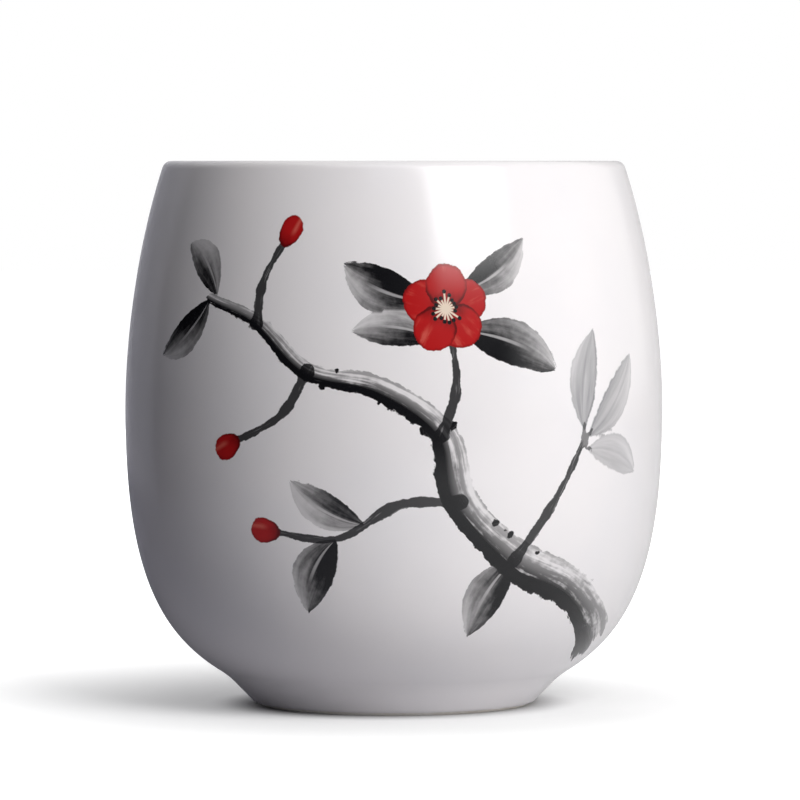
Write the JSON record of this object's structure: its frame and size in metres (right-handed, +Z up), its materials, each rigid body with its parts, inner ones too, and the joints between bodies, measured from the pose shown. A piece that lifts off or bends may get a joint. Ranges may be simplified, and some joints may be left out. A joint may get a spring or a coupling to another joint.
{
  "type": "teacup",
  "caption": "Handleless egg-shaped porcelain tea cup on a low foot ring, glazed white inside and out, with a camellia branch painted in ink and red enamel.",
  "frame": {"origin": "centre of the foot ring's land, on the surface that the cup stands on", "axes": "+Z up along the cup's axis, -Y towards the painted front"},
  "size_m": [0.0742, 0.0743, 0.075],
  "materials": {
    "biscuit_porcelain": "bare fired porcelain, matt and fine-grained",
    "white_glaze": "glossy clear glaze over white porcelain",
    "ink_enamel": "black painted enamel, fired on, satin gloss",
    "red_enamel": "red painted enamel, fired on, satin gloss",
    "grey_wash": "thin grey enamel wash, fired on, satin gloss"
  },
  "bodies": {
    "root": {"porcelain_bowl": "biscuit_porcelain", "foot_ring": "biscuit_porcelain", "outer_glaze": "white_glaze", "inner_glaze": "white_glaze", "foot_well_glaze": "white_glaze", "red_blossom_1": "red_enamel", "red_bud_1": "red_enamel", "red_bud_2": "red_enamel", "red_bud_3": "red_enamel", "ink_branch": "ink_enamel", "ink_leaf_1": "ink_enamel", "ink_leaf_2": "ink_enamel", "ink_leaf_3": "ink_enamel", "ink_leaf_4": "ink_enamel", "ink_leaf_5": "ink_enamel", "ink_leaf_6": "ink_enamel", "ink_leaf_7": "ink_enamel", "ink_leaf_8": "ink_enamel", "ink_leaf_9": "ink_enamel", "pale_leaf_1": "grey_wash", "pale_leaf_2": "grey_wash", "pale_leaf_3": "grey_wash"}
  },
  "joints": []
}
